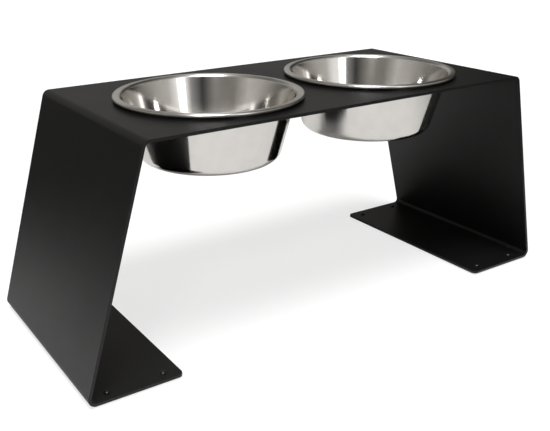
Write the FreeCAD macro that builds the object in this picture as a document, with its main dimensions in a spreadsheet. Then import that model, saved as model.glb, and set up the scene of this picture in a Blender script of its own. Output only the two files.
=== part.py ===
"""Raised feeder for two bowls: one folded steel sheet, two drop-in steel bowls and eight rubber feet.

Millimetres, +Z up. The origin is on the floor, under the middle of the stand. +X runs along the stand,
-Y is its front.
"""
import FreeCAD, Part
import Sketcher
import math
import os

# Driving sizes: name, value and what it measures
SIZES = (
    ("stand_height", 246.0, "underside of the foot flanges to the top of the plate"),
    ("stand_depth", 244.0, "front edge to back edge of the folded sheet"),
    ("top_length", 482.0, "between the outer corners of the top bends, taken sharp"),
    ("base_length", 632.0, "between the outer corners of the bottom bends, taken sharp"),
    ("foot_reach", 105.0, "outer corner of a bottom bend to the free edge of its foot flange"),
    ("sheet_thickness", 3.2, "steel sheet of the stand"),
    ("bend_radius", 5.0, "inside of every bend"),
    ("foot_corner_radius", 6.0, "free corners of the foot flanges"),
    ("edge_round", 0.5, "deburred and coated outline of the sheet"),
    ("bowl_spacing", 220.0, "between the centres of the two bowls"),
    ("bowl_forward", 10.5, "middle of the plate to the line of the bowl centres, towards the front"),
    ("bowl_play", 0.3, "upper edge of the plate hole to the bowl wall, all round"),
    ("rim_diameter", 200.0, "outside of the rolled bowl rim"),
    ("bead_diameter", 3.4, "rolled edge of the rim"),
    ("rim_clearance", 2.3, "plate to the lowest line of the rolled edge, as the wall wedges in the hole"),
    ("bowl_gauge", 0.7, "steel sheet of the bowls"),
    ("throat_diameter", 184.0, "outside of the bowl wall at the underside of its flange, taken sharp"),
    ("throat_radius", 3.0, "bend under the flange, where it turns down into the wall"),
    ("bowl_base_diameter", 149.0, "outside of the bowl wall at its base, taken sharp"),
    ("bowl_base_radius", 12.0, "outside of the bend between base and wall"),
    ("bowl_drop", 64.0, "top of the plate to the underside of the bowl"),
    ("foot_hole_diameter", 5.0, "holes for the rubber feet"),
    ("foot_hole_from_side", 12.5, "hole centre to the front or back edge"),
    ("foot_hole_from_bend", 26.5, "hole centre to the outer corner of the bottom bend, taken sharp"),
    ("foot_hole_from_end", 17.5, "hole centre to the free edge of the flange"),
    ("foot_neck_play", 0.3, "foot hole to the neck of the rubber foot, all round"),
    ("foot_head_diameter", 12.0, "rubber head between the flange and the floor"),
    ("foot_head_height", 2.0, "floor to the underside of the flange"),
    ("foot_head_round", 0.7, "lower edge of the rubber head"),
    ("foot_tip_diameter", 6.0, "barbed tip above the flange"),
    ("foot_tip_height", 2.0, "upper face of the flange to the top of the tip"),
    ("foot_tip_step", 0.6, "straight flank of the tip, below its dome"),
)
SHEET_NAME = "Sizes"
TINY = 1e-4
START, END, CENTRE = 1, 2, 3
ORIGIN = (-1, 1)
GROUND_LINE, UPRIGHT_LINE = -1, -2
SIDES = (("left", -1), ("right", 1))
ROWS = (("front", -1), ("back", 1))
ENDS = ("outer", "inner")

doc = FreeCAD.newDocument("raised_feeder")
sheet = doc.addObject("Spreadsheet::Sheet", SHEET_NAME)
for row, (alias, value, meaning) in enumerate(SIZES, start=1):
    sheet.set(f"A{row}", meaning)
    sheet.set(f"B{row}", str(value))
    sheet.setAlias(f"B{row}", alias)
doc.recompute()


def size(alias):
    return float(sheet.get(alias))


def cell(alias):
    return f"{SHEET_NAME}.{alias}"


# Drawing helpers


def new_body(label):
    body = doc.addObject("PartDesign::Body", label)
    body.Label = label
    return body


def new_sketch(body, name, role):
    """An empty sketch on one of the body's own base planes."""
    sketch = body.newObject("Sketcher::SketchObject", name)
    plane = next(item for item in body.Origin.OriginFeatures if item.Role == role)
    sketch.AttachmentSupport = [(plane, "")]
    sketch.MapMode = "FlatFace"
    return sketch


def fix(sketch, kind, *targets):
    """A constraint that needs no size."""
    return sketch.addConstraint(Sketcher.Constraint(kind, *targets))


def measure(sketch, kind, *targets, start, rule):
    """A dimension that starts at a number and follows a rule in the size sheet."""
    index = sketch.addConstraint(Sketcher.Constraint(kind, *targets, start))
    sketch.setExpression(f"Constraints[{index}]", rule)
    return index


def add_run(sketch, start, end):
    segment = Part.LineSegment(FreeCAD.Vector(*start, 0), FreeCAD.Vector(*end, 0))
    return sketch.addGeometry(segment, False)


def add_circle(sketch, centre, radius):
    circle = Part.Circle(FreeCAD.Vector(*centre, 0), FreeCAD.Vector(0, 0, 1), radius)
    return sketch.addGeometry(circle, False)


def add_arc(sketch, centre, radius, start, end):
    """An arc that runs counter-clockwise from start to end."""
    circle = Part.Circle(FreeCAD.Vector(*centre, 0), FreeCAD.Vector(0, 0, 1), radius)
    angles = [math.atan2(point[1] - centre[1], point[0] - centre[0]) for point in (start, end)]
    return sketch.addGeometry(Part.ArcOfCircle(circle, *angles), False)


def unit(point, toward):
    length = math.dist(point, toward)
    return ((toward[0] - point[0]) / length, (toward[1] - point[1]) / length)


def round_corner(before, corner, after, radius):
    """Both tangent points and the centre of an arc in a corner, and whether it turns left."""
    back, ahead = unit(corner, before), unit(corner, after)
    half = math.acos(back[0] * ahead[0] + back[1] * ahead[1]) / 2
    reach = radius / math.tan(half)
    entry = (corner[0] + back[0] * reach, corner[1] + back[1] * reach)
    leave = (corner[0] + ahead[0] * reach, corner[1] + ahead[1] * reach)
    middle = unit((0, 0), (back[0] + ahead[0], back[1] + ahead[1]))
    centre = tuple(corner[axis] + middle[axis] * radius / math.sin(half) for axis in (0, 1))
    turns_left = ahead[0] * back[1] - ahead[1] * back[0] > 0
    return entry, leave, centre, turns_left


def draw_chain(sketch, corners, closed=False):
    """Straight runs from corner to corner, with a tangent arc at each corner that has a radius.

    Run i starts at corner i. Returns the runs, and the arcs by corner.
    """
    count = len(corners)
    points = [corner[:2] for corner in corners]
    entries, leaves, arcs = list(points), list(points), {}
    for index, (across, up, radius) in enumerate(corners):
        if radius:
            turn = round_corner(points[index - 1], (across, up), points[(index + 1) % count], radius)
            entries[index], leaves[index], centre, turns_left = turn
            ends = (entries[index], leaves[index]) if turns_left else (leaves[index], entries[index])
            arcs[index] = (add_arc(sketch, centre, radius, *ends), turns_left)
    runs = []
    for index in range(count if closed else count - 1):
        runs.append(add_run(sketch, leaves[index], entries[(index + 1) % count]))
    for index in range(count if closed else count - 1):
        if index in arcs:
            arc, turns_left = arcs[index]
            first, last = (START, END) if turns_left else (END, START)
            fix(sketch, "Tangent", runs[index - 1], END, arc, first)
            fix(sketch, "Tangent", arc, last, runs[index], START)
        elif closed or index > 0:
            fix(sketch, "Coincident", runs[index - 1], END, runs[index], START)
    return runs, {index: arc for index, (arc, _) in arcs.items()}


def sharp_corner(sketch, first_run, second_run, place):
    """The point where two runs would meet without their arc."""
    point = sketch.addGeometry(Part.Point(FreeCAD.Vector(*place, 0)), True)
    fix(sketch, "PointOnObject", point, START, first_run)
    fix(sketch, "PointOnObject", point, START, second_run)
    return point


def from_axis(sketch, geometry, end, sign, start, rule):
    """Distance of a point from the upright axis, on the side given by the sign."""
    if sign > 0:
        measure(sketch, "DistanceX", *ORIGIN, geometry, end, start=start, rule=rule)
    else:
        measure(sketch, "DistanceX", geometry, end, *ORIGIN, start=start, rule=rule)


def revolve(body, sketch):
    turned = body.newObject("PartDesign::Revolution", f"{body.Label}_turned")
    turned.Profile = sketch
    turned.ReferenceAxis = (sketch, ["V_Axis"])
    turned.Angle = 360
    return turned


def cut(body, sketch, name, rule, toward_normal):
    """A pocket of ruled depth, which must take material away."""
    doc.recompute()
    before = body.Shape.Volume
    pocket = body.newObject("PartDesign::Pocket", name)
    pocket.Profile = sketch
    pocket.Reversed = toward_normal
    pocket.setExpression("Length", rule)
    doc.recompute()
    if body.Shape.Volume >= before:
        raise RuntimeError(f"{name} cuts nothing")
    return pocket


def edges_where(feature, test):
    return [f"Edge{number}" for number, edge in enumerate(feature.Shape.Edges, start=1) if test(edge)]


def fillet(body, base, name, edges, rule):
    if not edges:
        raise RuntimeError(f"{name} found no edges")
    rounded = body.newObject("PartDesign::Fillet", name)
    rounded.Base = (base, edges)
    rounded.setExpression("Radius", rule)
    doc.recompute()
    return rounded


# Folded sheet


def folded_profile(body):
    """Side outline of the sheet: foot flanges, leaning legs and top plate, with concentric bends."""
    thick, height = size("sheet_thickness"), size("stand_height")
    top, base = size("top_length") / 2, size("base_length") / 2
    foot_end = base - size("foot_reach")
    inside, outside = size("bend_radius"), size("bend_radius") + thick
    lean = math.atan2(base - top, height)
    inner_base = base - thick * (1 + math.sin(lean)) / math.cos(lean)
    inner_top = base - ((height - thick) * math.sin(lean) + thick) / math.cos(lean)

    outer_half = ((foot_end, 0, 0), (base, 0, outside), (top, height, outside))
    inner_half = ((inner_top, height - thick, inside), (inner_base, thick, inside), (foot_end, thick, 0))
    outer = outer_half + tuple((-across, up, radius) for across, up, radius in reversed(outer_half))
    inner = tuple((-across, up, radius) for across, up, radius in reversed(inner_half)) + inner_half
    sketch = new_sketch(body, "side_outline", "XZ_Plane")
    runs, arcs = draw_chain(sketch, outer + inner, closed=True)

    right_sole, right_leg, plate_top, left_leg, left_sole, left_end = runs[:6]
    left_tread, _, plate_under, _, right_tread, right_end = runs[6:]
    for run in (right_sole, left_sole, plate_top, plate_under, left_tread, right_tread):
        fix(sketch, "Horizontal", run)
    for run in (left_end, right_end):
        fix(sketch, "Vertical", run)
    for run in (right_sole, left_sole):
        fix(sketch, "PointOnObject", run, START, GROUND_LINE)

    thickness = cell("sheet_thickness")
    measure(sketch, "DistanceY", *ORIGIN, plate_top, START, start=height, rule=cell("stand_height"))
    measure(sketch, "DistanceY", plate_under, START, plate_top, START, start=thick, rule=thickness)
    measure(sketch, "DistanceY", left_end, START, left_end, END, start=thick, rule=thickness)
    measure(sketch, "DistanceY", right_end, END, right_end, START, start=thick, rule=thickness)

    outer_bends, inner_bends = (1, 2, 3, 4), (10, 9, 8, 7)
    for outer_bend, inner_bend in zip(outer_bends, inner_bends):
        fix(sketch, "Coincident", arcs[outer_bend], CENTRE, arcs[inner_bend], CENTRE)
        measure(sketch, "Radius", arcs[inner_bend], start=inside, rule=cell("bend_radius"))

    half_top, half_base = f"{cell('top_length')} / 2", f"{cell('base_length')} / 2"
    end_rule = f"{half_base} - {cell('foot_reach')}"
    for sign, leg, sole, sole_end in ((1, right_leg, right_sole, START), (-1, left_leg, left_sole, END)):
        top_corner = sharp_corner(sketch, leg, plate_top, (sign * top, height))
        base_corner = sharp_corner(sketch, leg, sole, (sign * base, 0))
        from_axis(sketch, top_corner, START, sign, top, half_top)
        from_axis(sketch, base_corner, START, sign, base, half_base)
        from_axis(sketch, sole, sole_end, sign, foot_end, end_rule)
    return sketch


def bowl_holes(body):
    """Two round holes in the plate, drawn at its upper face, where the bowl walls wedge in them."""
    sketch = new_sketch(body, "bowl_holes", "XY_Plane")
    sketch.setExpression("AttachmentOffset.Base.z", cell("stand_height"))
    flange_under = size("rim_clearance") + size("bead_diameter") - size("bowl_gauge")
    flare = size("throat_diameter") - size("bowl_base_diameter")
    wall = size("bowl_base_diameter") + flare * size("bowl_drop") / (size("bowl_drop") + flange_under)
    diameter = wall + 2 * size("bowl_play")
    under_rule = f"({cell('rim_clearance')} + {cell('bead_diameter')} - {cell('bowl_gauge')})"
    flare_rule = f"({cell('throat_diameter')} - {cell('bowl_base_diameter')})"
    share_rule = f"{cell('bowl_drop')} / ({cell('bowl_drop')} + {under_rule})"
    wall_rule = f"{cell('bowl_base_diameter')} + {flare_rule} * {share_rule}"
    rule = f"{wall_rule} + 2 * {cell('bowl_play')}"
    across, forward = size("bowl_spacing") / 2, size("bowl_forward")
    for _, sign in SIDES:
        hole = add_circle(sketch, (sign * across, -forward), diameter / 2)
        from_axis(sketch, hole, CENTRE, sign, across, f"{cell('bowl_spacing')} / 2")
        measure(sketch, "DistanceY", hole, CENTRE, *ORIGIN, start=forward, rule=cell("bowl_forward"))
        measure(sketch, "Diameter", hole, start=diameter, rule=rule)
    return cut(body, sketch, "bowl_openings", cell("sheet_thickness"), toward_normal=False)


def foot_rule(end):
    """Distance of a rubber foot from the middle of the stand, along it."""
    half_base = f"{cell('base_length')} / 2"
    if end == "outer":
        return f"{half_base} - {cell('foot_hole_from_bend')}"
    return f"{half_base} - {cell('foot_reach')} + {cell('foot_hole_from_end')}"


def foot_across(end):
    half_base = size("base_length") / 2
    if end == "outer":
        return half_base - size("foot_hole_from_bend")
    return half_base - size("foot_reach") + size("foot_hole_from_end")


def foot_holes(body):
    """Four holes in each flange, drawn at its underside."""
    sketch = new_sketch(body, "foot_holes", "XY_Plane")
    diameter = size("foot_hole_diameter")
    along = size("stand_depth") / 2 - size("foot_hole_from_side")
    along_rule = f"{cell('stand_depth')} / 2 - {cell('foot_hole_from_side')}"
    for _, side in SIDES:
        for _, row in ROWS:
            for end in ENDS:
                hole = add_circle(sketch, (side * foot_across(end), row * along), diameter / 2)
                from_axis(sketch, hole, CENTRE, side, foot_across(end), foot_rule(end))
                pair = (*ORIGIN, hole, CENTRE) if row > 0 else (hole, CENTRE, *ORIGIN)
                measure(sketch, "DistanceY", *pair, start=along, rule=along_rule)
                measure(sketch, "Diameter", hole, start=diameter, rule=cell("foot_hole_diameter"))
    return cut(body, sketch, "foot_openings", cell("sheet_thickness"), toward_normal=True)


def is_upright(edge):
    box = edge.BoundBox
    return box.XLength < TINY and box.YLength < TINY


def is_flange_corner(edge):
    """An upright edge at a free corner of a foot flange."""
    foot_end = size("base_length") / 2 - size("foot_reach")
    middle = edge.CenterOfMass
    at_end = abs(abs(middle.x) - foot_end) < TINY
    at_side = abs(abs(middle.y) - size("stand_depth") / 2) < TINY
    return is_upright(edge) and at_end and at_side


def is_outline(edge):
    """An edge along the cut border of the sheet, leaving out the bowl and foot holes."""
    half_depth = size("stand_depth") / 2
    foot_end = size("base_length") / 2 - size("foot_reach")
    corner = size("foot_corner_radius")
    box = edge.BoundBox
    flat_in_y, flat_in_x = box.YLength < TINY, box.XLength < TINY
    on_side = flat_in_y and abs(abs(box.YMin) - half_depth) < TINY
    on_end = flat_in_x and abs(abs(box.XMin) - foot_end) < TINY
    spans_corner = abs(box.XLength - corner) < TINY and abs(box.YLength - corner) < TINY
    return (on_side or on_end or spans_corner) and not is_upright(edge)


def is_bend_seam(edge):
    """A line across the thickness on the front or back border, where a bend starts."""
    return edge.Curve.TypeId == "Part::GeomLine" and edge.Length < size("sheet_thickness") + TINY


def build_stand():
    body = new_body("stand_sheet")
    sketch = folded_profile(body)
    pad = body.newObject("PartDesign::Pad", "folded_sheet")
    pad.Profile = sketch
    pad.SideType = "Symmetric"
    pad.setExpression("Length", cell("stand_depth"))
    bowl_holes(body)
    holed = foot_holes(body)
    corners = edges_where(holed, is_flange_corner)
    cornered = fillet(body, holed, "flange_corners", corners, cell("foot_corner_radius"))
    outline = edges_where(cornered, lambda edge: is_outline(edge) and not is_bend_seam(edge))
    fillet(body, cornered, "soft_outline", outline, cell("edge_round"))
    body.setExpression("Placement.Base.z", cell("foot_head_height"))
    return body


# Bowls


def bowl_section(body):
    """Half section of a pressed bowl: flat base, tapered wall, flange and rolled edge, in one gauge."""
    gauge, bead = size("bowl_gauge"), size("bead_diameter") / 2
    base, throat = size("bowl_base_diameter") / 2, size("throat_diameter") / 2
    base_bend, throat_bend = size("bowl_base_radius"), size("throat_radius")
    low, flange_top = -size("bowl_drop"), size("rim_clearance") + size("bead_diameter")
    flange_under = flange_top - gauge
    taper = math.atan2(throat - base, flange_under - low)
    inset = gauge * (1 - math.sin(taper)) / math.cos(taper)
    curl_centre = (size("rim_diameter") / 2 - bead, flange_top - bead)
    curl_across, curl_up = curl_centre

    sketch = new_sketch(body, f"{body.Label}_section", "XZ_Plane")
    outside = (
        (0, low, 0),
        (base, low, base_bend),
        (throat, flange_under, throat_bend),
        (curl_across, flange_under, 0),
    )
    inside = (
        (curl_across, flange_top, 0),
        (throat - inset, flange_top, throat_bend + gauge),
        (base - inset, low + gauge, base_bend - gauge),
        (0, low + gauge, 0),
    )
    (base_under, wall, flange_below), outer_bends = draw_chain(sketch, outside)
    (flange_above, _, base_above), inner_bends = draw_chain(sketch, inside)
    axis_end = add_run(sketch, inside[-1][:2], outside[0][:2])
    outer_low, outer_high = (curl_across, curl_up - bead), (curl_across, flange_top)
    inner_low, inner_high = (curl_across, curl_up - bead + gauge), (curl_across, flange_under)
    curl_out = add_arc(sketch, curl_centre, bead, outer_low, outer_high)
    curl_in = add_arc(sketch, curl_centre, bead - gauge, inner_low, inner_high)
    curl_end = add_run(sketch, inner_low, outer_low)

    fix(sketch, "Coincident", base_above, END, axis_end, START)
    fix(sketch, "Coincident", axis_end, END, base_under, START)
    fix(sketch, "Tangent", flange_below, END, curl_in, END)
    fix(sketch, "Tangent", flange_above, START, curl_out, END)
    fix(sketch, "Coincident", curl_in, START, curl_end, START)
    fix(sketch, "Coincident", curl_out, START, curl_end, END)
    fix(sketch, "Coincident", curl_in, CENTRE, curl_out, CENTRE)
    fix(sketch, "Vertical", curl_out, CENTRE, curl_out, START)
    fix(sketch, "Vertical", curl_end)
    for run in (base_under, base_above, flange_below, flange_above):
        fix(sketch, "Horizontal", run)
    for end in (START, END):
        fix(sketch, "PointOnObject", axis_end, end, UPRIGHT_LINE)
    for outer_bend, inner_bend in ((1, 2), (2, 1)):
        fix(sketch, "Coincident", outer_bends[outer_bend], CENTRE, inner_bends[inner_bend], CENTRE)

    gauge_rule = cell("bowl_gauge")
    flange_rule = f"{cell('rim_clearance')} + {cell('bead_diameter')}"
    curl_rule = f"({cell('rim_diameter')} - {cell('bead_diameter')}) / 2"
    measure(sketch, "DistanceY", *ORIGIN, flange_above, START, start=flange_top, rule=flange_rule)
    measure(sketch, "DistanceY", flange_below, END, flange_above, START, start=gauge, rule=gauge_rule)
    measure(sketch, "DistanceY", axis_end, END, axis_end, START, start=gauge, rule=gauge_rule)
    measure(sketch, "DistanceY", axis_end, END, *ORIGIN, start=-low, rule=cell("bowl_drop"))
    measure(sketch, "Diameter", curl_out, start=2 * bead, rule=cell("bead_diameter"))
    measure(sketch, "Radius", outer_bends[1], start=base_bend, rule=cell("bowl_base_radius"))
    measure(sketch, "Radius", outer_bends[2], start=throat_bend, rule=cell("throat_radius"))
    from_axis(sketch, curl_out, CENTRE, 1, curl_across, curl_rule)
    base_corner = sharp_corner(sketch, base_under, wall, (base, low))
    throat_corner = sharp_corner(sketch, wall, flange_below, (throat, flange_under))
    from_axis(sketch, base_corner, START, 1, base, f"{cell('bowl_base_diameter')} / 2")
    from_axis(sketch, throat_corner, START, 1, throat, f"{cell('throat_diameter')} / 2")
    return sketch


def build_bowl(label, sign):
    """One bowl, wedged by its tapered wall in its plate hole."""
    body = new_body(label)
    revolve(body, bowl_section(body))
    body.setExpression("Placement.Base.x", f"{sign} * {cell('bowl_spacing')} / 2")
    body.setExpression("Placement.Base.y", f"-{cell('bowl_forward')}")
    body.setExpression("Placement.Base.z", f"{cell('foot_head_height')} + {cell('stand_height')}")
    return body


# Rubber feet


def foot_section(body):
    """Half section of a push-in foot: head below the flange, neck in its hole, domed tip above."""
    head, tip = size("foot_head_diameter") / 2, size("foot_tip_diameter") / 2
    neck = size("foot_hole_diameter") / 2 - size("foot_neck_play")
    low, flange = -size("foot_head_height"), size("sheet_thickness")
    shoulder, top = flange + size("foot_tip_step"), flange + size("foot_tip_height")
    dome_height = top - shoulder
    dome_radius = (tip ** 2 + dome_height ** 2) / (2 * dome_height)

    sketch = new_sketch(body, f"{body.Label}_section", "XZ_Plane")
    flank = (
        (0, low, 0),
        (head, low, size("foot_head_round")),
        (head, 0, 0),
        (neck, 0, 0),
        (neck, flange, 0),
        (tip, flange, 0),
        (tip, shoulder, 0),
    )
    runs, bends = draw_chain(sketch, flank)
    sole, head_side, head_top, neck_side, tip_under, tip_side = runs
    dome = add_arc(sketch, (0, top - dome_radius), dome_radius, (tip, shoulder), (0, top))
    axis = add_run(sketch, (0, top), (0, low))
    fix(sketch, "Coincident", tip_side, END, dome, START)
    fix(sketch, "Coincident", dome, END, axis, START)
    fix(sketch, "Coincident", axis, END, sole, START)
    fix(sketch, "PointOnObject", dome, CENTRE, UPRIGHT_LINE)
    for end in (START, END):
        fix(sketch, "PointOnObject", axis, end, UPRIGHT_LINE)
    for run in (sole, head_top, tip_under):
        fix(sketch, "Horizontal", run)
    for run in (head_side, neck_side, tip_side):
        fix(sketch, "Vertical", run)
    fix(sketch, "PointOnObject", head_top, START, GROUND_LINE)

    neck_rule = f"{cell('foot_hole_diameter')} / 2 - {cell('foot_neck_play')}"
    shoulder_rule = f"{cell('sheet_thickness')} + {cell('foot_tip_step')}"
    top_rule = f"{cell('sheet_thickness')} + {cell('foot_tip_height')}"
    from_axis(sketch, head_side, END, 1, head, f"{cell('foot_head_diameter')} / 2")
    from_axis(sketch, neck_side, START, 1, neck, neck_rule)
    from_axis(sketch, tip_side, END, 1, tip, f"{cell('foot_tip_diameter')} / 2")
    measure(sketch, "DistanceY", axis, END, *ORIGIN, start=-low, rule=cell("foot_head_height"))
    measure(sketch, "DistanceY", *ORIGIN, neck_side, END, start=flange, rule=cell("sheet_thickness"))
    measure(sketch, "DistanceY", *ORIGIN, tip_side, END, start=shoulder, rule=shoulder_rule)
    measure(sketch, "DistanceY", *ORIGIN, dome, END, start=top, rule=top_rule)
    measure(sketch, "Radius", bends[1], start=size("foot_head_round"), rule=cell("foot_head_round"))
    return sketch


def build_rubber_foot(label, side, row, end):
    body = new_body(label)
    revolve(body, foot_section(body))
    along_rule = f"{row} * ({cell('stand_depth')} / 2 - {cell('foot_hole_from_side')})"
    body.setExpression("Placement.Base.x", f"{side} * ({foot_rule(end)})")
    body.setExpression("Placement.Base.y", along_rule)
    body.setExpression("Placement.Base.z", cell("foot_head_height"))
    return body


# Whole feeder


def build_all():
    bodies = [build_stand()]
    for side_name, side in SIDES:
        bodies.append(build_bowl(f"{side_name}_bowl", side))
    for side_name, side in SIDES:
        for row_name, row in ROWS:
            for end in ENDS:
                label = f"rubber_foot_{side_name}_{row_name}_{end}"
                bodies.append(build_rubber_foot(label, side, row, end))
    doc.recompute()
    return bodies


def check_all(bodies):
    """Stop on a failed object, a loose sketch or a bad shape."""
    for item in doc.Objects:
        if "Invalid" in item.State or "Error" in item.State:
            raise RuntimeError(f"{item.Name} failed: {item.State}")
        if item.TypeId == "Sketcher::SketchObject" and not item.FullyConstrained:
            raise RuntimeError(f"{item.Name} is not fully constrained")
    for body in bodies:
        if body.Shape.isNull() or not body.Shape.isValid() or len(body.Shape.Solids) != 1:
            raise RuntimeError(f"{body.Label} is not one sound solid")


feeder = build_all()
check_all(feeder)
os.makedirs("parts", exist_ok=True)
for piece in feeder:
    piece.Shape.exportStep(os.path.join("parts", f"{piece.Label}.step"))
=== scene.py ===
"""Looks of a raised feeder: one folded sheet, two steel bowls and eight rubber feet on a studio floor.

Metres, +Z up, -Y towards the front. Each piece is modelled in place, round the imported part.
"""
import math

import bmesh
import bpy
from bpy.props import FloatProperty, FloatVectorProperty, PointerProperty, StringProperty
from mathutils import Matrix, Vector


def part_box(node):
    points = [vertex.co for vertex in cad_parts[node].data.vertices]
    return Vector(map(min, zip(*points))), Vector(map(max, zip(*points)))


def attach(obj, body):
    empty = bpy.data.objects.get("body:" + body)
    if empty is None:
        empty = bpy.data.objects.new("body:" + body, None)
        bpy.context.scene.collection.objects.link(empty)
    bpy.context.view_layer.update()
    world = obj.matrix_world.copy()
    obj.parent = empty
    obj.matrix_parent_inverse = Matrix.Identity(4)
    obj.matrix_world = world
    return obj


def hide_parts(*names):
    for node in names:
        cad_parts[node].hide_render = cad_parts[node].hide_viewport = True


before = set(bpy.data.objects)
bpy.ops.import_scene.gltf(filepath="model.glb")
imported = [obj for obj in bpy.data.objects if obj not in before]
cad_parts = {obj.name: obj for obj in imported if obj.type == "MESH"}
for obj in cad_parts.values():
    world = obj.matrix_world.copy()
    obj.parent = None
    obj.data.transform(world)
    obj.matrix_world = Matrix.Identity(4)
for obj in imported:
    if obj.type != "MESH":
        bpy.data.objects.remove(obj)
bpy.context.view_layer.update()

bl_info = {
    "name": "Raised Feeder",
    "version": (1, 0, 0),
    "blender": (4, 5, 0),
    "location": "3D View > Sidebar > Feeder",
    "description": "Builds a raised feeder: folded stand, two bowls, rubber feet and a studio floor",
    "category": "Add Mesh",
}

MM = 0.001
TINY = 1e-6
SIDES = ("left", "right")
FEET = tuple(sorted(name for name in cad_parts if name.startswith("rubber_foot")))

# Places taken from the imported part
SHEET_LOW, SHEET_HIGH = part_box("stand_sheet")
BOWL_LOW, BOWL_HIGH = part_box("left_bowl")
FOOT_LOW, FOOT_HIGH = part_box(FEET[0])
BOWL_CENTRES = {side: sum(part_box(f"{side}_bowl"), Vector()) / 2 for side in SIDES}

# Fineness of the stand
BEND_STEPS = 12
CORNER_STEPS = 8
EDGE_STEPS = 3
HOLE_STEPS = 160
FOOT_HOLE_STEPS = 32

# Fineness of the bowls, round the axis and along the half section
BOWL_STEPS = 192
BASE_STEPS = 14
THROAT_STEPS = 16
CURL_STEPS = 14
RUN_STEP = 4 * MM

# Fineness of the feet, round the axis and along the half section
FOOT_STEPS = 48
HEAD_STEPS = 6
DOME_STEPS = 10

# Edges sharper than these angles are rounded, or stay sharp in shading
ROUNDED_FROM = math.radians(60)
SHARP_FROM = math.radians(40)


def length(name, description, millimetres):
    """A size in metres that a user may change."""
    return FloatProperty(
        name=name, description=description, default=millimetres * MM, unit="LENGTH", precision=4
    )


def angle(name, description, degrees):
    """An angle that a user may change."""
    return FloatProperty(name=name, description=description, default=math.radians(degrees), subtype="ANGLE")


def colour(name, description, tone):
    """An sRGB hex colour that a user may change."""
    return StringProperty(name=name, description=description, default=tone)


class StandSizes(bpy.types.PropertyGroup):
    """Sizes of the folded sheet"""

    thickness: length("Thickness", "Steel sheet of the stand", 3.2)
    bend_radius: length("Bend radius", "Inside of every bend", 5)
    top_length: length("Top length", "Between the outer corners of the top bends, taken sharp", 482)
    base_length: length("Base length", "Between the outer corners of the bottom bends, taken sharp", 632)
    foot_reach: length("Foot reach", "Outer corner of a bottom bend to the free edge of its flange", 105)
    corner_radius: length("Corner radius", "Free corners of the foot flanges", 6)
    edge_round: length("Edge round", "Coated outline of the sheet", 0.5)
    bowl_play: length("Bowl play", "Gap between a bowl's wall and its hole", 0.3)
    foot_hole: length("Foot hole", "Diameter of the flange holes", 5)


class BowlSizes(bpy.types.PropertyGroup):
    """Sizes of a pressed bowl"""

    gauge: length("Gauge", "Steel sheet of the bowl", 0.7)
    bead: length("Bead", "Diameter of the rolled edge", 3.4)
    throat: length("Throat", "Diameter of the wall at the flange, taken sharp", 184)
    throat_radius: length("Throat radius", "Bend under the flange", 3)
    base: length("Base", "Diameter of the wall at the base, taken sharp", 149)
    base_radius: length("Base radius", "Outside of the bend between base and wall", 12)


class FootSizes(bpy.types.PropertyGroup):
    """Sizes of a push-in rubber foot"""

    head_height: length("Head height", "Floor to the underside of the flange", 2)
    head_round: length("Head round", "Lower edge of the head", 0.7)
    neck: length("Neck", "Diameter inside the flange hole", 4.4)
    tip: length("Tip", "Diameter of the tip above the flange", 6)
    tip_step: length("Tip step", "Straight flank of the tip", 0.6)


class FinishColours(bpy.types.PropertyGroup):
    """Colours of the finishes, as sRGB hex"""

    coat: colour("Coat", "Black coating of the stand", "#0b0b0b")
    steel: colour("Steel", "Polished steel of the bowls", "#dfdcd8")
    steel_haze: colour("Steel haze", "Handled patches of the steel", "#dad7d3")
    rim: colour("Rim", "Satin steel of the rims", "#f0ede8")
    rim_haze: colour("Rim haze", "Handled patches of the rims", "#e6e3de")
    rubber: colour("Rubber", "Rubber of the feet", "#141414")
    paper: colour("Paper", "Pale paper under the stand, as light and reflections meet it", "#dadada")
    far_floor: colour("Far floor", "Studio floor round the paper", "#3a3a3a")
    floor_shade: colour("Floor shade", "Part of the seen floor that shadows darken", "#9e9e9e")


class StageSettings(bpy.types.PropertyGroup):
    """Camera at the photograph's angle"""

    azimuth: angle("Azimuth", "Camera turn round the stand", -32.229)
    elevation: angle("Elevation", "Camera above the horizon", 24.752)
    roll: angle("Roll", "Camera turn about its own axis", -0.561)
    distance: length("Distance", "Camera to its target", 891.4)
    target: FloatVectorProperty(
        name="Target",
        description="Point on the camera's axis",
        default=(-0.0791, 0.0, 0.0485),
        subtype="XYZ",
        unit="LENGTH",
    )
    sensor: FloatProperty(name="Sensor", description="Width of the sensor", default=36, unit="CAMERA")
    lens: FloatProperty(name="Lens", description="Focal length", default=49.343, unit="CAMERA")
    shift: FloatVectorProperty(
        name="Shift", description="Lens shift in frame widths", default=(0.0818, 0.0818), size=2
    )


class FeederSettings(bpy.types.PropertyGroup):
    """All settings of the feeder"""

    stand: PointerProperty(type=StandSizes)
    bowl: PointerProperty(type=BowlSizes)
    foot: PointerProperty(type=FootSizes)
    colours: PointerProperty(type=FinishColours)
    stage: PointerProperty(type=StageSettings)


# Modelling helpers


def begin(name, primitive, **options):
    """Add a primitive as a new piece and open it in edit mode."""
    bpy.ops.object.select_all(action="DESELECT")
    primitive(**options)
    piece = bpy.context.object
    piece.name = name
    piece.data.name = name
    bpy.ops.object.transform_apply(location=True, rotation=True, scale=True)
    bpy.ops.object.mode_set(mode="EDIT")
    bpy.ops.mesh.select_mode(type="VERT")
    bpy.ops.mesh.select_all(action="SELECT")
    return piece


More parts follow.
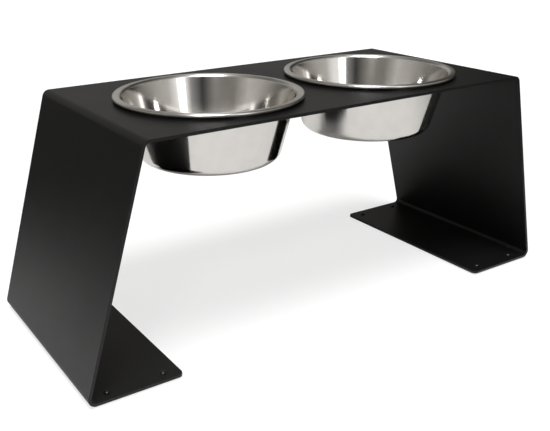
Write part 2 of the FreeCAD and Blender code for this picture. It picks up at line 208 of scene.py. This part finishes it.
def pick(kind, test):
    """Select only the vertices, edges or faces whose corners all pass a test."""
    bpy.ops.mesh.select_mode(type=kind)
    bpy.ops.mesh.select_all(action="DESELECT")
    mesh = bmesh.from_edit_mesh(bpy.context.edit_object.data)
    found = 0
    for item in {"VERT": mesh.verts, "EDGE": mesh.edges, "FACE": mesh.faces}[kind]:
        corners = [item] if kind == "VERT" else item.verts
        if all(test(corner.co) for corner in corners):
            item.select_set(True)
            found += 1
    if not found:
        raise RuntimeError(f"no {kind} found on {bpy.context.edit_object.name}")
    mesh.select_flush_mode()
    bmesh.update_edit_mesh(bpy.context.edit_object.data)


def near(value, wanted):
    """Whether two measures are the same."""
    return abs(value - wanted) < TINY


def extrude(way):
    """Draw the selection out along a way."""
    bpy.ops.mesh.extrude_region_move(TRANSFORM_OT_translate={"value": way})


def finish_modifier(piece, name, kind, **options):
    """Add a modifier to a piece and apply it."""
    modifier = piece.modifiers.new(name, kind)
    for key, value in options.items():
        setattr(modifier, key, value)
    bpy.ops.object.modifier_apply(modifier=name)


def smooth(piece):
    """Smooth shading with sharp edges and flat faces kept."""
    bpy.ops.object.shade_smooth_by_angle(angle=SHARP_FROM)
    finish_modifier(piece, "Flat faces", "WEIGHTED_NORMAL", keep_sharp=True)


def copy_piece(source, name, way):
    """A copy with its own mesh, moved by a way."""
    bpy.ops.object.select_all(action="DESELECT")
    source.select_set(True)
    bpy.context.view_layer.objects.active = source
    bpy.ops.object.duplicate(linked=False)
    piece = bpy.context.object
    piece.name = name
    piece.data.name = name
    bpy.ops.transform.translate(value=way)
    bpy.ops.object.transform_apply(location=True, rotation=True, scale=True)
    return piece


def wear(piece, material):
    """Give a piece one material all over."""
    piece.data.materials.clear()
    piece.data.materials.append(material)


def stand_for(piece, node, body):
    """Let a piece take the place of its solid and move with that solid's body."""
    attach(piece, body)
    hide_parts(node)


# Half sections of the turned pieces


def arc(centre, radius, start, end, steps):
    """Points on an arc between two angles in degrees, both ends included."""
    turns = [math.radians(start + (end - start) * step / steps) for step in range(steps + 1)]
    return [(centre[0] + radius * math.cos(turn), centre[1] + radius * math.sin(turn)) for turn in turns]


def round_corner(before, corner, after, radius, steps):
    """Points of a tangent arc in a corner."""
    corner = Vector(corner)
    back = (Vector(before) - corner).normalized()
    ahead = (Vector(after) - corner).normalized()
    half = back.angle(ahead) / 2
    centre = corner + (back + ahead).normalized() * radius / math.sin(half)
    entry = corner + back * radius / math.tan(half) - centre
    leave = corner + ahead * radius / math.tan(half) - centre
    turn = entry.angle_signed(leave)
    return [tuple(centre + Matrix.Rotation(-turn * step / steps, 2) @ entry) for step in range(steps + 1)]


def divide(points, step):
    """The same line with extra points on its long runs."""
    divided = [points[0]]
    for start, end in zip(points, points[1:]):
        parts = max(1, math.ceil(math.dist(start, end) / step))
        for part in range(1, parts + 1):
            share = part / parts
            divided.append(tuple(a + (b - a) * share for a, b in zip(start, end)))
    return divided


def turn_section(name, section, centre, steps):
    """Draw a half section point by point and spin it about an upright axis."""
    across, along = centre
    piece = begin(name, bpy.ops.mesh.primitive_plane_add, size=MM, location=(across, along, 0))
    bpy.ops.mesh.merge(type="CENTER")
    bpy.ops.transform.translate(value=(section[0][0], 0, section[0][1]))
    for start, end in zip(section, section[1:]):
        extrude((end[0] - start[0], 0, end[1] - start[1]))
    bpy.ops.mesh.select_all(action="SELECT")
    bpy.ops.mesh.spin(steps=steps, angle=2 * math.pi, center=(across, along, 0), axis=(0, 0, 1))
    bpy.ops.mesh.select_all(action="SELECT")
    bpy.ops.mesh.remove_doubles(threshold=TINY)
    bpy.ops.mesh.normals_make_consistent(inside=False)
    bpy.ops.object.mode_set(mode="OBJECT")
    return piece


# Materials


def linear(tone):
    """Linear RGBA from an sRGB hex colour."""
    parts = [int(tone[start:start + 2], 16) / 255 for start in (1, 3, 5)]
    return [part / 12.92 if part <= 0.04045 else ((part + 0.055) / 1.055) ** 2.4 for part in parts] + [1.0]


def add_node(tree, kind, values=None, links=None, tones=(), **settings):
    """Add a node with its settings, input values and ramp tones, and link its inputs to earlier outputs."""
    node = tree.nodes.new(kind)
    for key, value in settings.items():
        setattr(node, key, value)
    for key, value in (values or {}).items():
        node.inputs[key].default_value = value
    for key, source in (links or {}).items():
        tree.links.new(source, node.inputs[key])
    if tones:
        elements = node.color_ramp.elements
        while len(elements) < len(tones):
            elements.new(1.0)
        for element, (place, tone) in zip(elements, tones):
            element.position = place
            element.color = linear(tone)
    return node


def new_material(name):
    """An empty material and its node tree."""
    material = bpy.data.materials.new(name)
    material.use_nodes = True
    material.node_tree.nodes.clear()
    return material, material.node_tree


def per_mm(millimetres):
    """Texture scale that gives one feature per so many millimetres."""
    return 1 / (millimetres * MM)


def satin_powder_coat(colours):
    """Satin black powder coat on steel: melted and cured grains leave a fine orange peel."""
    material, tree = new_material("satin black powder coat")
    place = add_node(tree, "ShaderNodeTexCoord").outputs["Object"]
    # Grains are about 0.3 mm wide; drawn 1.6 mm wide so that they show
    grain = add_node(tree, "ShaderNodeTexNoise", {"Scale": per_mm(1.6), "Detail": 2.0}, {"Vector": place})
    relief = {"Strength": 0.08, "Distance": 0.1 * MM}
    peel = add_node(tree, "ShaderNodeBump", relief, {"Height": grain.outputs["Fac"]})
    # The film is slightly uneven, in patches about 45 mm wide
    film = add_node(tree, "ShaderNodeTexNoise", {"Scale": per_mm(45), "Detail": 3.0}, {"Vector": place})
    satin = {"To Min": 0.4, "To Max": 0.48}
    rough = add_node(tree, "ShaderNodeMapRange", satin, {"Value": film.outputs["Fac"]})
    shader = add_node(
        tree,
        "ShaderNodeBsdfPrincipled",
        {"Base Color": linear(colours.coat), "IOR": 1.5, "Specular IOR Level": 0.4},
        {"Roughness": rough.outputs["Result"], "Normal": peel.outputs["Normal"]},
    )
    add_node(tree, "ShaderNodeOutputMaterial", links={"Surface": shader.outputs["BSDF"]})
    return material


def spun_steel(name, tone, haze_tone, smoothest, roughest, anisotropy):
    """Stainless steel with polishing lines round the bowl's axis, so that highlights stretch up the wall."""
    material, tree = new_material(name)
    place = add_node(tree, "ShaderNodeTexCoord").outputs["Object"]
    # Both bowls share the pattern: their axes lie at the same distance from the middle
    raw = add_node(tree, "ShaderNodeSeparateXYZ", links={"Vector": place})
    across = add_node(tree, "ShaderNodeMath", links={0: raw.outputs["X"]}, operation="ABSOLUTE")
    folded = {"X": across.outputs["Value"], "Y": raw.outputs["Y"], "Z": raw.outputs["Z"]}
    mirrored = add_node(tree, "ShaderNodeCombineXYZ", links=folded)
    to_axis = (-BOWL_CENTRES["right"].x, -BOWL_CENTRES["right"].y, 0)
    centred = add_node(
        tree, "ShaderNodeMapping", {"Location": to_axis}, {"Vector": mirrored.outputs["Vector"]}
    )
    parts = add_node(tree, "ShaderNodeSeparateXYZ", links={"Vector": centred.outputs["Vector"]})
    flat = add_node(tree, "ShaderNodeCombineXYZ", links={"X": parts.outputs["X"], "Y": parts.outputs["Y"]})
    reach = add_node(tree, "ShaderNodeVectorMath", links={0: flat.outputs["Vector"]}, operation="LENGTH")
    section = {"X": reach.outputs["Value"], "Z": parts.outputs["Z"]}
    turned = add_node(tree, "ShaderNodeCombineXYZ", links=section).outputs["Vector"]
    # Polishing lines are about 0.1 mm apart; drawn 1.2 mm apart so that they show
    lines = add_node(tree, "ShaderNodeTexNoise", {"Scale": per_mm(1.2), "Detail": 2.0}, {"Vector": turned})
    polish = {"To Min": smoothest, "To Max": roughest}
    rough = add_node(tree, "ShaderNodeMapRange", polish, {"Value": lines.outputs["Fac"]})
    # Handling leaves a faint haze in patches about 14 mm wide
    haze = add_node(tree, "ShaderNodeTexNoise", {"Scale": per_mm(14), "Detail": 4.0}, {"Vector": place})
    patches = ((0.35, haze_tone), (0.6, tone))
    tint = add_node(tree, "ShaderNodeValToRGB", links={"Fac": haze.outputs["Fac"]}, tones=patches)
    round_axis = add_node(tree, "ShaderNodeTangent", direction_type="RADIAL", axis="Z")
    shader = add_node(
        tree,
        "ShaderNodeBsdfPrincipled",
        {"Metallic": 1.0, "Anisotropic": anisotropy, "Anisotropic Rotation": 0.25},
        {
            "Base Color": tint.outputs["Color"],
            "Roughness": rough.outputs["Result"],
            "Tangent": round_axis.outputs["Tangent"],
        },
    )
    add_node(tree, "ShaderNodeOutputMaterial", links={"Surface": shader.outputs["BSDF"]})
    return material


def polished_steel(colours):
    """Polished stainless steel: the wall mirrors the room in upright streaks."""
    return spun_steel(
        "polished stainless steel",
        colours.steel,
        colours.steel_haze,
        smoothest=0.08,
        roughest=0.14,
        anisotropy=0.6,
    )


def satin_steel(colours):
    """Satin stainless steel: the rim gives an even grey gleam."""
    return spun_steel(
        "satin stainless steel",
        colours.rim,
        colours.rim_haze,
        smoothest=0.28,
        roughest=0.36,
        anisotropy=0.8,
    )


def moulded_rubber(colours):
    """Moulded black rubber: smooth enough for a glint, with a faint bloom in patches about 2 mm wide."""
    material, tree = new_material("moulded black rubber")
    place = add_node(tree, "ShaderNodeTexCoord").outputs["Object"]
    bloom = add_node(tree, "ShaderNodeTexNoise", {"Scale": per_mm(2), "Detail": 2.0}, {"Vector": place})
    skin = {"To Min": 0.32, "To Max": 0.48}
    rough = add_node(tree, "ShaderNodeMapRange", skin, {"Value": bloom.outputs["Fac"]})
    shader = add_node(
        tree,
        "ShaderNodeBsdfPrincipled",
        {"Base Color": linear(colours.rubber), "IOR": 1.52},
        {"Roughness": rough.outputs["Result"]},
    )
    add_node(tree, "ShaderNodeOutputMaterial", links={"Surface": shader.outputs["BSDF"]})
    return material


# Folded stand


def fold_half(sizes):
    """The right half of the sheet's outer face: plate, top bend, leg, bottom bend and foot flange."""
    top, sole = SHEET_HIGH.z, SHEET_LOW.z
    half_top, half_base = sizes.top_length / 2, sizes.base_length / 2
    outer = sizes.bend_radius + sizes.thickness
    lean = math.atan2(half_base - half_top, top - sole)
    top_turn, base_turn = math.pi / 2 - lean, math.pi / 2 + lean
    top_reach, base_reach = outer * math.tan(top_turn / 2), outer * math.tan(base_turn / 2)
    plate_end, flange_start = half_top - top_reach, half_base - base_reach
    flange_end = half_base - sizes.foot_reach
    leg_way = Vector((math.sin(lean), 0, -math.cos(lean)))
    leg_length = (top - sole) / math.cos(lean) - top_reach - base_reach
    middle = (plate_end / 2, 0, top)
    depth = SHEET_HIGH.y - SHEET_LOW.y

    piece = begin("stand", bpy.ops.mesh.primitive_plane_add, size=1, location=middle)
    bpy.ops.transform.resize(value=(plate_end, depth, 1), center_override=middle)
    pick("EDGE", lambda place: near(place.x, plate_end))
    bpy.ops.mesh.spin(steps=BEND_STEPS, angle=top_turn, center=(plate_end, 0, top - outer), axis=(0, -1, 0))
    extrude(leg_way * leg_length)
    base_centre = (flange_start, 0, sole + outer)
    bpy.ops.mesh.spin(steps=BEND_STEPS, angle=base_turn, center=base_centre, axis=(0, -1, 0))
    extrude((flange_end - flange_start, 0, 0))
    return piece, plate_end, flange_start, flange_end


def wall_radius(bowl, height):
    """Radius of a bowl's outer wall at a height."""
    under = BOWL_HIGH.z - bowl.gauge
    share = (height - BOWL_LOW.z) / (under - BOWL_LOW.z)
    return (bowl.base + (bowl.throat - bowl.base) * share) / 2


def open_plate(sizes, bowl, plate_end):
    """Cut the bowl hole: the plate's face is filled again round a ring at the hole's border."""
    top = SHEET_HIGH.z
    centre = Vector((*BOWL_CENTRES["right"].xy, top))
    radius = wall_radius(bowl, top) + sizes.bowl_play
    ring = radius + 2 * sizes.thickness
    pick("FACE", lambda place: near(place.z, top) and place.x < plate_end + TINY)
    bpy.ops.mesh.delete(type="ONLY_FACE")
    bpy.ops.mesh.select_all(action="DESELECT")
    bpy.ops.mesh.primitive_circle_add(vertices=HOLE_STEPS, radius=radius, location=centre)
    bpy.ops.mesh.extrude_edges_move(TRANSFORM_OT_translate={"value": (0, 0, 0)})
    bpy.ops.transform.resize(value=(ring / radius, ring / radius, 1), center_override=centre)

    def on_border(place):
        inside = (place - centre).length < ring - TINY
        return near(place.z, top) and not inside

    pick("EDGE", on_border)
    bpy.ops.mesh.fill(use_beauty=True)


def open_flange(sizes, flange_start, flange_end):
    """Round the free corners of the flange and cut its four foot holes."""
    sole = SHEET_LOW.z
    pick("VERT", lambda place: near(place.x, flange_end) and near(place.z, sole))
    bpy.ops.mesh.bevel(offset=sizes.corner_radius, segments=CORNER_STEPS, affect="VERTICES")
    pick("FACE", lambda place: near(place.z, sole) and place.x < flange_start + TINY)
    bpy.ops.mesh.delete(type="ONLY_FACE")
    for name in FEET:
        low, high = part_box(name)
        if low.x > 0:
            bpy.ops.mesh.select_all(action="DESELECT")
            bpy.ops.mesh.primitive_circle_add(
                vertices=FOOT_HOLE_STEPS,
                radius=sizes.foot_hole / 2,
                location=((low.x + high.x) / 2, (low.y + high.y) / 2, sole),
            )
    pick("EDGE", lambda place: near(place.z, sole) and place.x < flange_start + TINY)
    bpy.ops.mesh.fill(use_beauty=True)


def build_stand(sizes, bowl, coat):
    """Fold half of the sheet, open its holes, mirror it and give it its thickness."""
    piece, plate_end, flange_start, flange_end = fold_half(sizes)
    open_plate(sizes, bowl, plate_end)
    open_flange(sizes, flange_start, flange_end)
    bpy.ops.object.mode_set(mode="OBJECT")
    finish_modifier(piece, "Other half", "MIRROR", use_axis=(True, False, False), merge_threshold=TINY)
    bpy.ops.object.mode_set(mode="EDIT")
    bpy.ops.mesh.select_all(action="SELECT")
    bpy.ops.mesh.remove_doubles(threshold=TINY)
    bpy.ops.mesh.normals_make_consistent(inside=False)
    bpy.ops.object.mode_set(mode="OBJECT")
    highest = max(piece.data.polygons, key=lambda face: face.center.z)
    if highest.normal.z < 0:
        piece.data.flip_normals()
    finish_modifier(piece, "Sheet", "SOLIDIFY", thickness=sizes.thickness, offset=-1, use_even_offset=True)
    finish_modifier(
        piece,
        "Soft outline",
        "BEVEL",
        width=sizes.edge_round,
        segments=EDGE_STEPS,
        limit_method="ANGLE",
        angle_limit=ROUNDED_FROM,
    )
    smooth(piece)
    wear(piece, coat)
    stand_for(piece, "stand_sheet", "stand")


class FEEDER_OT_build_stand(bpy.types.Operator):
    """Fold the stand from one sheet with bowl holes and foot holes"""

    bl_idname = "feeder.build_stand"
    bl_label = "Folded Stand"

    def execute(self, context):
        feeder = context.scene.feeder
        build_stand(feeder.stand, feeder.bowl, satin_powder_coat(feeder.colours))
        return {"FINISHED"}


# Bowls


def bowl_section(sizes):
    """Half section of the bowl in one gauge: base, wall, flange and rolled edge, out and back."""
    gauge, bead = sizes.gauge, sizes.bead / 2
    base, throat = sizes.base / 2, sizes.throat / 2
    rim = (BOWL_HIGH.x - BOWL_LOW.x) / 2
    low, high = BOWL_LOW.z, BOWL_HIGH.z
    under = high - gauge
    taper = math.atan2(throat - base, under - low)
    inset = gauge * (1 - math.sin(taper)) / math.cos(taper)
    curl = (rim - bead, high - bead)
    outside = [(0, low), (base, low), (throat, under), (curl[0], under)]
    inside = [(curl[0], high), (throat - inset, high), (base - inset, low + gauge), (0, low + gauge)]
    points = [outside[0]]
    points += round_corner(*outside[:3], sizes.base_radius, BASE_STEPS)
    points += round_corner(*outside[1:], sizes.throat_radius, THROAT_STEPS)
    points += arc(curl, bead - gauge, 90, -90, CURL_STEPS)
    points += arc(curl, bead, -90, 90, CURL_STEPS)
    points += round_corner(*inside[:3], sizes.throat_radius + gauge, THROAT_STEPS)
    points += round_corner(*inside[1:], sizes.base_radius - gauge, BASE_STEPS)
    points.append(inside[-1])
    return divide(points, RUN_STEP)


def paint_rim(piece, sizes, material):
    """Give the flange, the bend under it and the rolled edge the second finish."""
    piece.data.materials.append(material)
    bpy.ops.object.mode_set(mode="EDIT")
    under = BOWL_HIGH.z - sizes.bead - TINY
    centre = BOWL_CENTRES["left"].xy
    bend = (sizes.throat - sizes.throat_radius) / 2
    pick("FACE", lambda place: place.z > under and (place.xy - centre).length > bend)
    piece.active_material_index = 1
    bpy.ops.object.material_slot_assign()
    bpy.ops.object.mode_set(mode="OBJECT")


class FEEDER_OT_build_bowls(bpy.types.Operator):
    """Spin one bowl from its half section and copy it to the other hole"""

    bl_idname = "feeder.build_bowls"
    bl_label = "Two Bowls"

    def execute(self, context):
        feeder = context.scene.feeder
        section = bowl_section(feeder.bowl)
        left = turn_section("bowl_left", section, BOWL_CENTRES["left"].xy, BOWL_STEPS)
        bpy.ops.object.shade_smooth()
        wear(left, polished_steel(feeder.colours))
        paint_rim(left, feeder.bowl, satin_steel(feeder.colours))
        right = copy_piece(left, "bowl_right", BOWL_CENTRES["right"] - BOWL_CENTRES["left"])
        for side, piece in zip(SIDES, (left, right)):
            stand_for(piece, f"{side}_bowl", f"{side}_bowl")
        return {"FINISHED"}


# Rubber feet


def foot_section(sizes, flange):
    """Half section of a foot: head on the floor, neck in the flange hole and domed tip."""
    low, high = FOOT_LOW.z, FOOT_HIGH.z
    head = (FOOT_HIGH.x - FOOT_LOW.x) / 2
    neck, tip = sizes.neck / 2, sizes.tip / 2
    shelf = low + sizes.head_height
    barb = SHEET_LOW.z + flange
    rise = high - barb - sizes.tip_step
    dome = (tip ** 2 + rise ** 2) / (2 * rise)
    dome_start = math.degrees(math.acos(tip / dome))
    points = [(0, low)]
    points += round_corner((0, low), (head, low), (head, shelf), sizes.head_round, HEAD_STEPS)
    points += [(head, shelf), (neck, shelf), (neck, barb), (tip, barb)]
    points += arc((0, high - dome), dome, dome_start, 90, DOME_STEPS)
    return points


class FEEDER_OT_build_rubber_feet(bpy.types.Operator):
    """Spin one push-in rubber foot and copy it to every flange hole"""

    bl_idname = "feeder.build_rubber_feet"
    bl_label = "Rubber Feet"

    def execute(self, context):
        feeder = context.scene.feeder
        section = foot_section(feeder.foot, feeder.stand.thickness)
        first_place = (FOOT_LOW + FOOT_HIGH) / 2
        first = turn_section("foot_1", section, first_place.xy, FOOT_STEPS)
        smooth(first)
        wear(first, moulded_rubber(feeder.colours))
        stand_for(first, FEET[0], "stand")
        for number, name in enumerate(FEET[1:], start=2):
            low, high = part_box(name)
            piece = copy_piece(first, f"foot_{number}", (low + high) / 2 - first_place)
            stand_for(piece, name, "stand")
        return {"FINISHED"}


# Stage

# Width of the floor, and distances from its middle over which its paper ends and its white grows, in metres
FLOOR_SIZE = 40
PAPER_FADE = (0.45, 0.95)
GLOW_FADE = (0.8, 3.0)

# Strength of the seen floor's own white, near and far, and of what mirrors add to the paper
NEAR_GLOW, FAR_GLOW = 0.72, 1.0
MIRROR_GLOW = 0.13

# Tone of the room round the stand: share of a turn from the left, counted by way of the front
ROOM_TONES = (
    (0.0, "#c6c4c0"),
    (0.06, "#868480"),
    (0.14, "#868480"),
    (0.19, "#3a3a3a"),
    (0.235, "#989898"),
    (0.255, "#ffffff"),
    (0.295, "#ffffff"),
    (0.33, "#c6c4c0"),
    (0.45, "#9a9894"),
    (0.52, "#3a3a3a"),
    (0.61, "#0c0c0c"),
    (0.632, "#a6a4a0"),
    (0.7, "#a8a6a2"),
    (0.86, "#8e8c88"),
    (1.0, "#c6c4c0"),
)

# Brightness of the room by height: a dim foot, a lit band at eye level, a dark ceiling and a skylight
ROOM_HEIGHTS = (
    (0.0, "#606060"),
    (0.18, "#ffffff"),
    (0.42, "#ffffff"),
    (0.54, "#a0a0a0"),
    (0.8, "#989898"),
    (0.95, "#ffffff"),
)

# Place, aim, width and height in metres, and power in watts
LAMPS = {
    "key_soft_box": ((-2.0, -3.2, 12.0), (0, 0, 0.1), (4.5, 4.5), 1320),
    "front_soft_box": ((0.15, -1.5, 0.9), (0, 0, 0.25), (0.32, 1.1), 2),
    "small_lamp": ((-1.05, -1.05, 1.25), (0, 0, 0.25), (0.25, 0.25), 5),
}


def pale_studio_floor(colours):
    """Pale floor: the camera sees it white with a light shadow, steel and light meet pale paper."""
    material, tree = new_material("pale studio floor")
    seen = add_node(tree, "ShaderNodeLightPath")
    place = add_node(tree, "ShaderNodeTexCoord").outputs["Object"]
    reach = add_node(tree, "ShaderNodeVectorMath", links={0: place}, operation="LENGTH").outputs["Value"]
    # Pale paper under the stand fades into a dark studio floor
    fade = tuple(zip(PAPER_FADE, (colours.paper, colours.far_floor)))
    paper = add_node(tree, "ShaderNodeValToRGB", links={"Fac": reach}, tones=fade).outputs["Color"]
    matt = add_node(tree, "ShaderNodeBsdfDiffuse", links={"Color": paper})
    # Metal and glass show the paper a little lighter, as the camera does
    mirrors = {0: seen.outputs["Is Glossy Ray"], 1: seen.outputs["Is Transmission Ray"]}
    mirrored = add_node(tree, "ShaderNodeMath", links=mirrors, operation="MAXIMUM").outputs["Value"]
    lift = add_node(tree, "ShaderNodeMapRange", {"To Max": MIRROR_GLOW}, {"Value": mirrored})
    gleam = add_node(tree, "ShaderNodeEmission", links={"Color": paper, "Strength": lift.outputs["Result"]})
    both = {0: matt.outputs["BSDF"], 1: gleam.outputs["Emission"]}
    plain = add_node(tree, "ShaderNodeAddShader", links=both)
    # What the camera sees runs out into the white background
    shade = add_node(tree, "ShaderNodeBsdfDiffuse", {"Color": linear(colours.floor_shade)})
    start, end = GLOW_FADE
    spread = {"From Min": start, "From Max": end, "To Min": NEAR_GLOW, "To Max": FAR_GLOW}
    white = add_node(tree, "ShaderNodeMapRange", spread, {"Value": reach})
    glow = add_node(tree, "ShaderNodeEmission", links={"Strength": white.outputs["Result"]})
    both = {0: shade.outputs["BSDF"], 1: glow.outputs["Emission"]}
    shown = add_node(tree, "ShaderNodeAddShader", links=both)
    mixed = add_node(
        tree,
        "ShaderNodeMixShader",
        links={0: seen.outputs["Is Camera Ray"], 1: plain.outputs["Shader"], 2: shown.outputs["Shader"]},
    )
    add_node(tree, "ShaderNodeOutputMaterial", links={"Surface": mixed.outputs["Shader"]})
    return material


def build_floor(colours):
    """Lay the floor under the feet."""
    bpy.ops.object.select_all(action="DESELECT")
    bpy.ops.mesh.primitive_plane_add(size=FLOOR_SIZE, location=(0, 0, 0))
    floor = bpy.context.object
    floor.name = "floor"
    wear(floor, pale_studio_floor(colours))


def build_world():
    """White behind the floor, and a dim room with grey walls for light and reflections."""
    world = bpy.data.worlds.new("studio")
    bpy.context.scene.world = world
    world.use_nodes = True
    tree = world.node_tree
    tree.nodes.clear()
    seen = add_node(tree, "ShaderNodeLightPath")
    way = add_node(tree, "ShaderNodeTexCoord").outputs["Generated"]
    turn = add_node(tree, "ShaderNodeTexGradient", links={"Vector": way}, gradient_type="RADIAL")
    walls = add_node(tree, "ShaderNodeValToRGB", links={"Fac": turn.outputs["Fac"]}, tones=ROOM_TONES)
    parts = add_node(tree, "ShaderNodeSeparateXYZ", links={"Vector": way})
    heights = add_node(tree, "ShaderNodeValToRGB", links={"Fac": parts.outputs["Z"]}, tones=ROOM_HEIGHTS)
    room = add_node(
        tree,
        "ShaderNodeBackground",
        links={"Color": walls.outputs["Color"], "Strength": heights.outputs["Color"]},
    )
    white = add_node(tree, "ShaderNodeBackground", {"Color": (1, 1, 1, 1), "Strength": 1.0})
    mixed = add_node(
        tree,
        "ShaderNodeMixShader",
        links={
            0: seen.outputs["Is Camera Ray"],
            1: room.outputs["Background"],
            2: white.outputs["Background"],
        },
    )
    add_node(tree, "ShaderNodeOutputWorld", links={"Surface": mixed.outputs["Shader"]})


def add_lamp(name, place, aim, size, watts):
    """A soft box that shines at a point."""
    turn = (Vector(aim) - Vector(place)).to_track_quat("-Z", "Y").to_euler()
    bpy.ops.object.light_add(type="AREA", location=place, rotation=turn)
    lamp = bpy.context.object
    lamp.name = name
    lamp.data.name = name
    lamp.data.shape = "RECTANGLE"
    lamp.data.size, lamp.data.size_y = size
    lamp.data.energy = watts


def build_camera(stage):
    """Set the camera up and look through it."""
    back = Vector((
        math.sin(stage.azimuth) * math.cos(stage.elevation),
        -math.cos(stage.azimuth) * math.cos(stage.elevation),
        math.sin(stage.elevation),
    ))
    level = Vector((math.cos(stage.azimuth), math.sin(stage.azimuth), 0))
    right = level * math.cos(stage.roll) + back.cross(level) * math.sin(stage.roll)
    up = back.cross(right)
    turn = Matrix((right, up, back)).transposed().to_euler()
    place = Vector(stage.target) + back * stage.distance
    bpy.ops.object.camera_add(location=place, rotation=turn)
    camera = bpy.context.object
    camera.name = "camera"
    camera.data.sensor_width = stage.sensor
    camera.data.lens = stage.lens
    camera.data.shift_x, camera.data.shift_y = stage.shift
    bpy.context.scene.camera = camera


class FEEDER_OT_build_stage(bpy.types.Operator):
    """Set the floor, the room, the lamps and the camera"""

    bl_idname = "feeder.build_stage"
    bl_label = "Studio Stage"

    def execute(self, context):
        feeder = context.scene.feeder
        context.scene.view_settings.view_transform = "Standard"
        build_floor(feeder.colours)
        build_world()
        for name, (place, aim, size, watts) in LAMPS.items():
            add_lamp(name, place, aim, size, watts)
        build_camera(feeder.stage)
        return {"FINISHED"}


class FEEDER_PT_panel(bpy.types.Panel):
    """Buttons that build the feeder"""

    bl_idname = "FEEDER_PT_panel"
    bl_label = "Raised Feeder"
    bl_space_type = "VIEW_3D"
    bl_region_type = "UI"
    bl_category = "Feeder"

    def draw(self, context):
        for operator in OPERATORS:
            self.layout.operator(operator.bl_idname)


OPERATORS = (
    FEEDER_OT_build_stand,
    FEEDER_OT_build_bowls,
    FEEDER_OT_build_rubber_feet,
    FEEDER_OT_build_stage,
)
GROUPS = (StandSizes, BowlSizes, FootSizes, FinishColours, StageSettings, FeederSettings)
CLASSES = GROUPS + OPERATORS + (FEEDER_PT_panel,)


def register():
    for item in CLASSES:
        bpy.utils.register_class(item)
    bpy.types.Scene.feeder = PointerProperty(type=FeederSettings)


def unregister():
    del bpy.types.Scene.feeder
    for item in reversed(CLASSES):
        bpy.utils.unregister_class(item)


def main():
    """Build everything in order."""
    register()
    bpy.ops.feeder.build_stand()
    bpy.ops.feeder.build_bowls()
    bpy.ops.feeder.build_rubber_feet()
    bpy.ops.feeder.build_stage()


if __name__ == "__main__":
    main()
